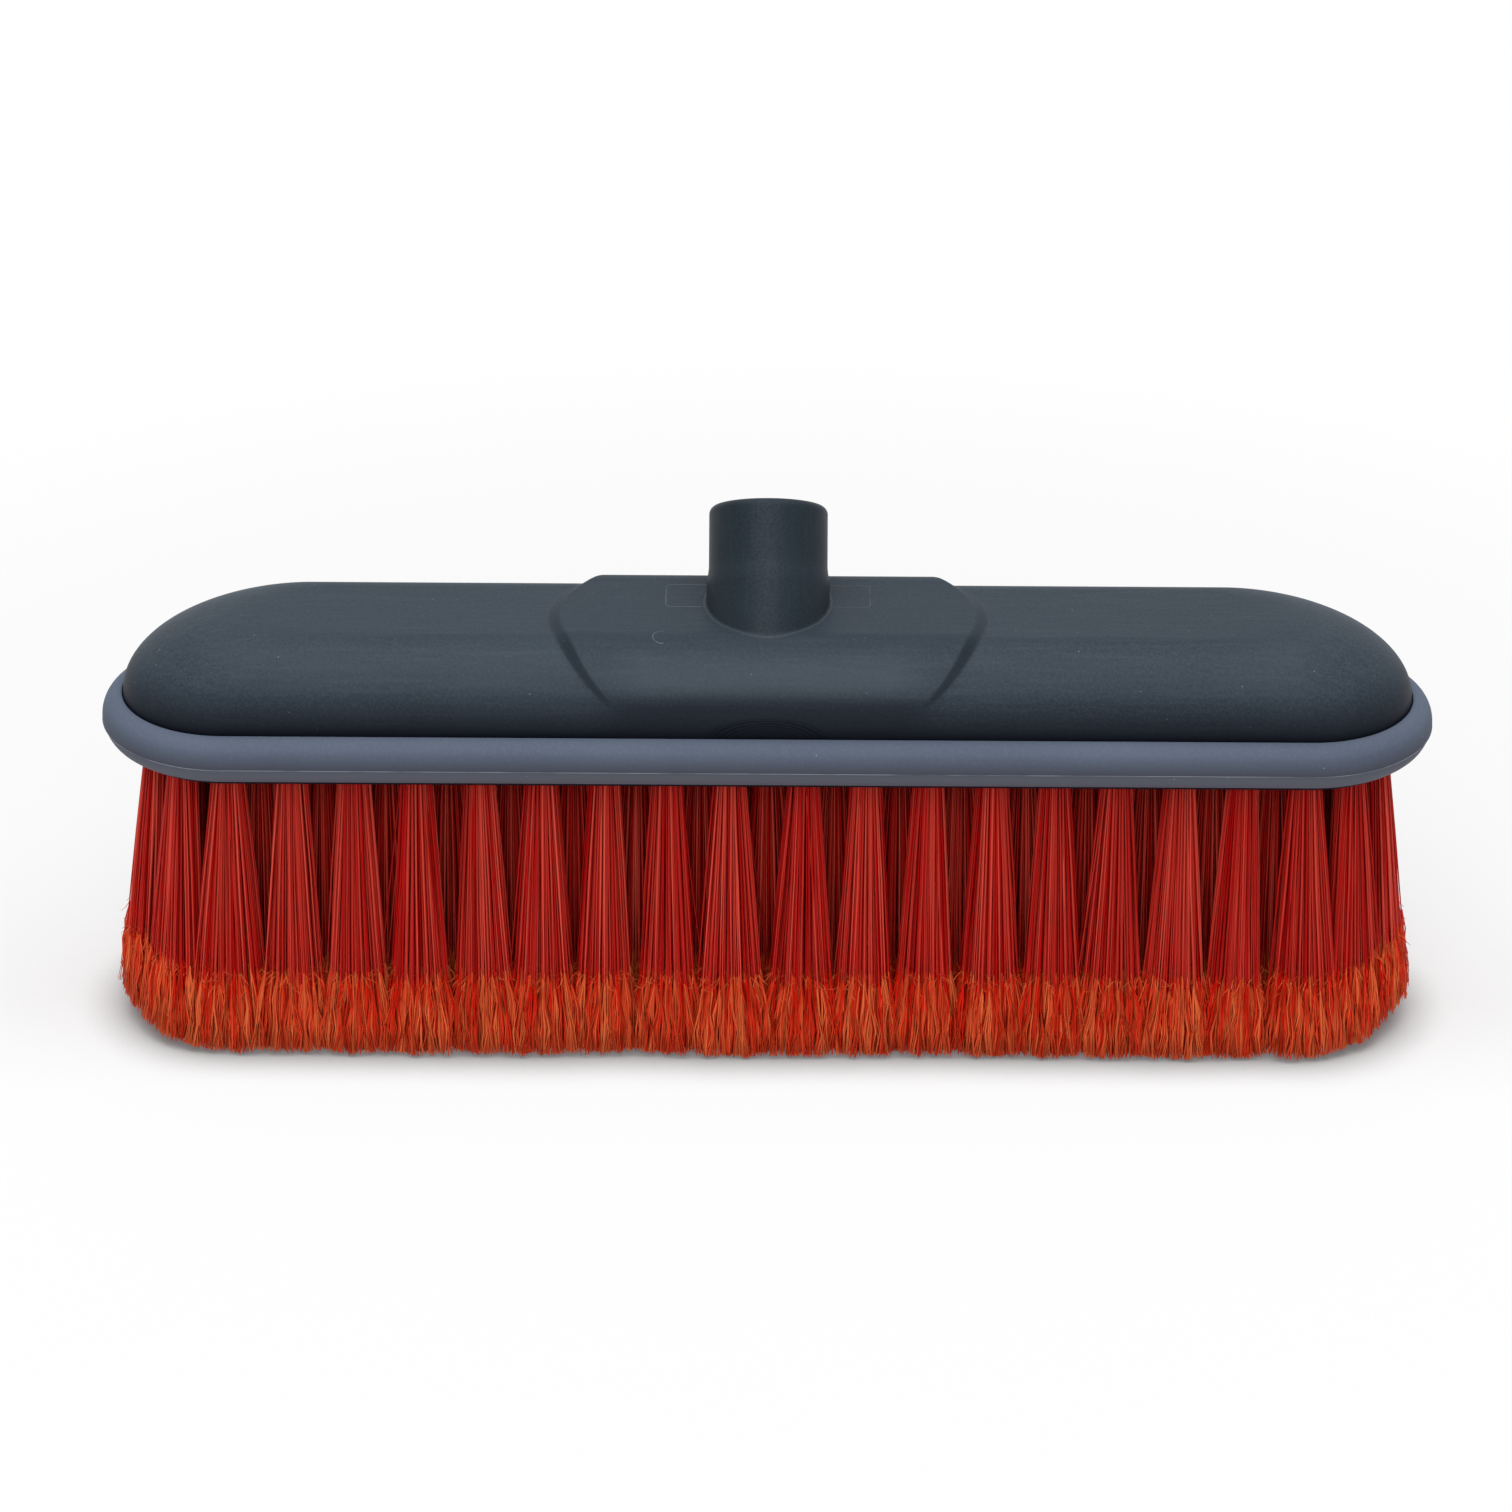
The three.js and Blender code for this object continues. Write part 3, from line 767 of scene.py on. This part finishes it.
# The flash ridge is real; its paler line along the parting is a painted highlight.
flash = sum_of(tree, "COMPARE", height, flash_height, flash_half)
flash = times(tree, flash, ramp_of(tree, noise_of(tree, place, 90.0, 2.0), 0.3, 0.6))
colour = tinted(tree, colour, flash, 0.6, tone(150, 158, 172))
colour = dusted(tree, place, colour, 330.0, 0.05, 0.7, 0.55, tone(176, 182, 192))
feed(tree, shader.inputs["Base Color"], colour)
feed(tree, shader.inputs["Roughness"], range_of(tree, cloud, 0.0, 1.0, 0.62, 0.72))
shader.inputs["Specular IOR Level"].default_value = 0.2
relieved(tree, shader, grain, 0.5, 0.04)
piece_of(bumper, "bumper_ring", bumper_rubber, "bumper_rubber", "bumper")


# === The bristles ===
# Tufts of red polyester filament, folded over wire anchors in the drilled holes, fanning out to
# their tips. Each filament's end is flagged: split by the trimming machine into finer, paler hairs.

root_height = face_height + 3
root_radius = 3.3
filament_radius = 0.28
flag_start, flag_radius = 0.76, 0.13
hair_spread, curl_spread = (0.15, 1.0), (1.8, 3.2)
hair_start = 0.1
hair_loose, hair_tip_loose, hair_tip_width = 0.45, 0.2, 0.8
row_reach = 2.75
left_reach, right_reach = 6.8, 6.0
left_tip_rise, right_tip_rise = 4.9, 6.0
tip_trim, tip_scallop = 0.5, 1.5
tip_cut, tip_give = 28.8, 0.5
outer_along, inner_along, straight_across = 7.7, 8.8, 6.3
end_along, end_across = 7.8, 5.2
flag_flare = 0.16
last_of_row = 120
gap_shift, gap_widening = 0.8, 0.6
last_shift, last_widening = 1.8, 1.5
outer_kinds, inner_kinds = 9, 4
chance = np.random.default_rng(41)


def drawn_out(bm, edges, here, last, width):
    """Carries a loop of edges on to a new place, its points drawn together by a width."""
    grown = bmesh.ops.extrude_edge_only(bm, edges=edges)["geom"]
    verts = [g for g in grown if isinstance(g, bmesh.types.BMVert)]
    edges = [g for g in grown if isinstance(g, bmesh.types.BMEdge)]
    bmesh.ops.translate(bm, verts=verts, vec=here - last)
    for v in verts:
        v.co.xy = here.xy + (v.co.xy - here.xy) * width
    return [e for e in edges if e.verts[0] in verts and e.verts[1] in verts]


def split_filament(flags, steps, curl):
    """One filament standing on z 0 to 1 with its cross section in mm: three-sided, its end split
    into wavy hairs, one of which may be a short curl that stands off sideways. With it come two
    notes on each of its points: a tint, because every hair catches the light in its own way, and
    whether the point is on a split hair."""
    bm = bmesh.new()
    first_split = flag_start + chance.uniform(-0.02, 0.02)
    verts = bmesh.ops.create_circle(bm, segments=3, radius=filament_radius)["verts"]
    edges = list({e for v in verts for e in v.link_edges})
    stem = Vector((0, 0, 0))
    for top, width in ((0.4, 1), (first_split, 0.4)):
        edges = drawn_out(bm, edges, Vector((0, 0, top)), stem, width)
        stem = Vector((0, 0, top))
    notes = [(0.0, 0.0)] * len(bm.verts)
    for flag in range(flags):
        curled = curl and flag == 0
        heading = 2 * math.pi * (flag + chance.uniform(-0.3, 0.3)) / flags
        out = Vector((math.cos(heading), math.sin(heading), 0))
        spread = chance.uniform(*(curl_spread if curled else hair_spread))
        start = first_split + chance.uniform(-0.03, 0)
        reach = start + chance.uniform(-0.03, 0.04) if curled else 1 - chance.uniform(0, 0.005)
        last = out * hair_start + Vector((0, 0, start))
        radius = flag_radius * (0.8 if curled else 1)
        verts = bmesh.ops.create_circle(bm, segments=3, radius=radius)["verts"]
        bmesh.ops.translate(bm, verts=verts, vec=last)
        edges = list({e for v in verts for e in v.link_edges})
        for step in range(1, steps + 1):
            share = step / steps
            here = out * (hair_start + spread * share ** 0.7)
            here += Vector((0, 0, start + (reach - start) * share))
            loose = hair_loose if step < steps or curled else hair_tip_loose
            here += Vector((chance.uniform(-loose, loose), chance.uniform(-loose, loose), 0))
            edges = drawn_out(bm, edges, here, last, 1 if step < steps else hair_tip_width)
            last = here
        bmesh.ops.contextual_create(bm, geom=edges)
        notes += [(0.5 if curled else chance.normal(0, 0.3), 1.0)] * (len(bm.verts) - len(notes))
    mesh = bpy.data.meshes.new("filament")
    bm.to_mesh(mesh)
    bm.free()
    return mesh, np.array(notes)


filaments = [split_filament(8 if kind % 2 else 7, 3, kind % 3 < 2) for kind in range(outer_kinds)]
filaments += [split_filament(4, 2, False) for _ in range(inner_kinds)]


def unit_spots(count):
    """Evenly packed places in a disc, and the same places eased out towards a rounded square."""
    steps = np.arange(count) + 0.5
    radius = np.sqrt(steps / count)
    angle = steps * math.pi * (3 - math.sqrt(5))
    disc = np.stack([radius * np.cos(angle), radius * np.sin(angle)], axis=1)
    disc += chance.normal(0, 0.03, disc.shape)
    most = np.maximum(np.abs(disc).max(axis=1), 1e-6)
    square = disc * (1 + 0.7 * (np.linalg.norm(disc, axis=1) / most - 1))[:, None]
    return disc, square


def tip_heights(spots, x):
    """Tips are a little scalloped over each tuft, and rise towards the ends of the brush."""
    scallop = tip_scallop * (spots ** 2).sum(axis=1) / 2
    past = np.maximum(0, np.abs(x) - end_centre) / block_radius
    rise = np.where(x > 0, right_tip_rise, left_tip_rise)
    return np.maximum(0, scallop - tip_trim + rise * past ** 2)


def straight_tuft(x, row, tip_x, size, count):
    """Roots and tips of one tuft in a straight row, which leans away from the middle. The two at
    the middle gap of a row draw together, and the last one of an outer row reaches further out."""
    disc, square = unit_spots(count)
    lean = chance.normal(0, 0.35, 2)
    fan = chance.uniform(0.94, 1.08)
    root = np.array([x, row * row_pitch]) + disc * root_radius
    tip = np.array([tip_x, row * (row_pitch + row_reach)]) + lean
    by_gap = abs(x) == centre_gap / 2
    by_end = abs(x) > last_of_row and abs(row) == 2
    tip[0] += (by_end * last_shift - by_gap * gap_shift) * math.copysign(1, x)
    along = outer_along if abs(row) == 2 else inner_along
    along += by_gap * gap_widening + by_end * last_widening
    tip = tip + square * np.array([along, straight_across]) * size * fan
    return root, tip, tip_heights(square, tip[:, 0]) + chance.uniform(0, 0.35)


def end_tuft(side, angle, count):
    """Roots and tips of one tuft in the arc round an end, which leans outwards."""
    disc, square = unit_spots(count)
    outward = np.array([math.cos(angle), math.sin(angle)])
    along_arc = np.array([math.sin(angle), -math.cos(angle)])
    turned_disc = np.outer(disc[:, 0], along_arc) + np.outer(disc[:, 1], outward)
    root = outer_row * outward + root_radius * turned_disc
    root[:, 0] += end_centre
    root[:, 0] *= side
    radius = outer_row + (right_reach if side > 0 else left_reach)
    turned = angle - square[:, 0] * end_along / radius
    reach = radius + square[:, 1] * end_across
    tip = np.stack([side * (end_centre + reach * np.cos(turned)), reach * np.sin(turned)], axis=1)
    return root, tip, tip_heights(square, tip[:, 0])


def gathered(points, run, flare):
    """The flagged ends are gathered into locks by a few slow waves, and the tufts' tips flare."""
    lock = 1 - smooth_fall(run, flag_start - 0.02, flag_start + 0.1)
    x, y, z = points.T.copy()
    points[:, 0] += lock * (0.45 * np.sin(x * 1.3 + z * 0.35 + y)
                            + 0.25 * np.sin(x * 2.6 - z * 0.9 + y * 0.6))
    points[:, 0] += lock * flare
    points[:, 1] += lock * (0.38 * np.sin(x * 1.7 + z * 0.5) + 0.25 * np.sin(x * 0.8 - z * 0.9 + y))


def trimmed(points):
    """The field's outline is trimmed in slow waves: hairs beyond it are pressed back."""
    past = np.maximum(np.abs(points[:, 0]) - end_centre, 0)
    out = np.hypot(past, points[:, 1])
    cut = tip_cut + 0.45 * np.sin(points[:, 0] * 0.31 + 1) + 0.3 * np.sin(points[:, 0] * 0.83)
    pressed = (1 - tip_give) * np.maximum(out - cut, 0) / np.maximum(out, 1)
    points[:, 0] -= np.sign(points[:, 0]) * past * pressed
    points[:, 1] -= points[:, 1] * pressed


def bristle_piece(name, tufts, first_kind, last_kind, *nodes):
    """Lays one copy of a split filament for each root and tip, and notes its tone, its run and its
    split ends. A few strays wander from their tuft."""
    root, tip, tip_z = [np.concatenate(column) for column in zip(*tufts)]
    count = len(root)
    tip_z = tip_z + np.abs(chance.normal(0, 0.13, count))
    tip = tip + chance.normal(0, 0.22, tip.shape)
    stray = chance.random(count) < 0.04
    freedom = np.where(np.abs(root[stray, :1]) > end_centre, 0.3, 1.0)
    tip[stray] += chance.uniform(-1, 1, (stray.sum(), 2)) * (4.5, 1.5) * freedom
    bend = chance.normal(0, 0.22, (count, 2))
    turn = chance.uniform(0, 2 * math.pi, count)
    shade = np.clip(chance.normal(0.5, 0.32, count), 0, 1)
    kinds = chance.integers(first_kind, last_kind, count)
    bm = bmesh.new()
    for kind in kinds:
        bm.from_mesh(filaments[kind][0])
    mesh = bpy.data.meshes.new(name)
    bm.to_mesh(mesh)
    bm.free()
    sizes = np.array([len(notes) for _, notes in filaments])[kinds]
    which = np.repeat(np.arange(count), sizes)
    tints, split = np.concatenate([filaments[kind][1] for kind in kinds]).T.copy()
    flat = np.empty(len(mesh.vertices) * 3)
    mesh.vertices.foreach_get("co", flat)
    across, along, run = flat.reshape(-1, 3).T
    cosine, sine = np.cos(turn[which]), np.sin(turn[which])
    section = np.stack([across * cosine - along * sine, across * sine + along * cosine], axis=1)
    points = np.empty((len(run), 3))
    points[:, :2] = root[which] + (tip - root)[which] * run[:, None] + section
    points[:, :2] += bend[which] * np.sin(math.pi * run)[:, None]
    points[:, 2] = root_height + (tip_z - root_height)[which] * run
    flare = np.where(np.abs(root[:, 0]) > end_centre, 0, flag_flare) * (tip - root)[:, 0]
    gathered(points, run, flare[which])
    trimmed(points)
    mesh.vertices.foreach_set("co", (points * mm).ravel())
    shades = np.clip(shade[which] + tints, 0, 1)
    for note, values in (("shade", shades), ("run", run.copy()), ("split", split)):
        mesh.attributes.new(note, "FLOAT", "POINT").data.foreach_set("value", values)
    mesh.polygons.foreach_set("use_smooth", np.ones(len(mesh.polygons), bool))
    mesh.update()
    mesh.materials.append(bristle_fibre)
    piece = set_out(name, mesh)
    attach(piece, "root")
    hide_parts(*nodes)


# Every filament has its own tone; the lower half is painted brighter than the upper as painted
# light and shade, and the split ends are paler, painted paler still towards the tips as painted
# light
bristle_fibre, shader = finish_named("bristle_fibre")
tree = bristle_fibre.node_tree
shade = node(tree, "Attribute", {}, attribute_name="shade").outputs["Fac"]
run = node(tree, "Attribute", {}, attribute_name="run").outputs["Fac"]
split = node(tree, "Attribute", {}, attribute_name="split").outputs["Fac"]
glint = sum_of(tree, "POWER", shade, 1.6)
# Painted light and shade: the upper tones are darker and the lower ones brighter.
upper = blend_of(tree, glint, tone(194, 0, 0), tone(242, 88, 70))
painted_light_lower = blend_of(tree, glint, tone(216, 0, 0), tone(255, 90, 72))
colour = blend_of(tree, ramp_of(tree, run, 0.45, 0.75), upper, painted_light_lower)
# Painted light: the split ends grow paler towards the tips.
lift = range_of(tree, run, flag_start, 1.0, 0.0, 0.22)
paler = blend_of(tree, sum_of(tree, "ADD", glint, lift), tone(242, 22, 0), tone(255, 126, 70))
feed(tree, shader.inputs["Base Color"], blend_of(tree, split, colour, paler))
shader.inputs["Roughness"].default_value = 0.45
shader.inputs["Specular IOR Level"].default_value = 0.12

field_split = 48.375
front_count, core_count, rear_count = 200, 120, 170
inside_tip, inside_fan = 137, (0.75, 2.0)
stretches = [("left", -end_centre, -field_split), ("middle", -field_split, field_split),
             ("right", field_split, end_centre)]
row_groups = [("front", [-2], front_count, 0, outer_kinds),
              ("core", [-1, 0, 1], core_count, outer_kinds, outer_kinds + inner_kinds),
              ("rear", [2], rear_count, 0, outer_kinds)]
for name, start, end in stretches:
    for part, rows_of_part, count, first_kind, last_kind in row_groups:
        tufts = [straight_tuft(x, row, x, 1, count)
                 for row in rows_of_part for x in row_places(row) if start < x < end]
        bristle_piece(f"{name}_{part}_tufts", tufts, first_kind, last_kind, f"{name}_bristles")
for name, side in (("left", -1), ("right", 1)):
    tufts = [end_tuft(side, angle, front_count) for angle in end_angles]
    tufts.append(straight_tuft(side * inside_arc, 0, side * inside_tip, inside_fan, rear_count))
    bristle_piece(f"{name}_end_tufts", tufts, 0, outer_kinds, f"{name}_bristles")
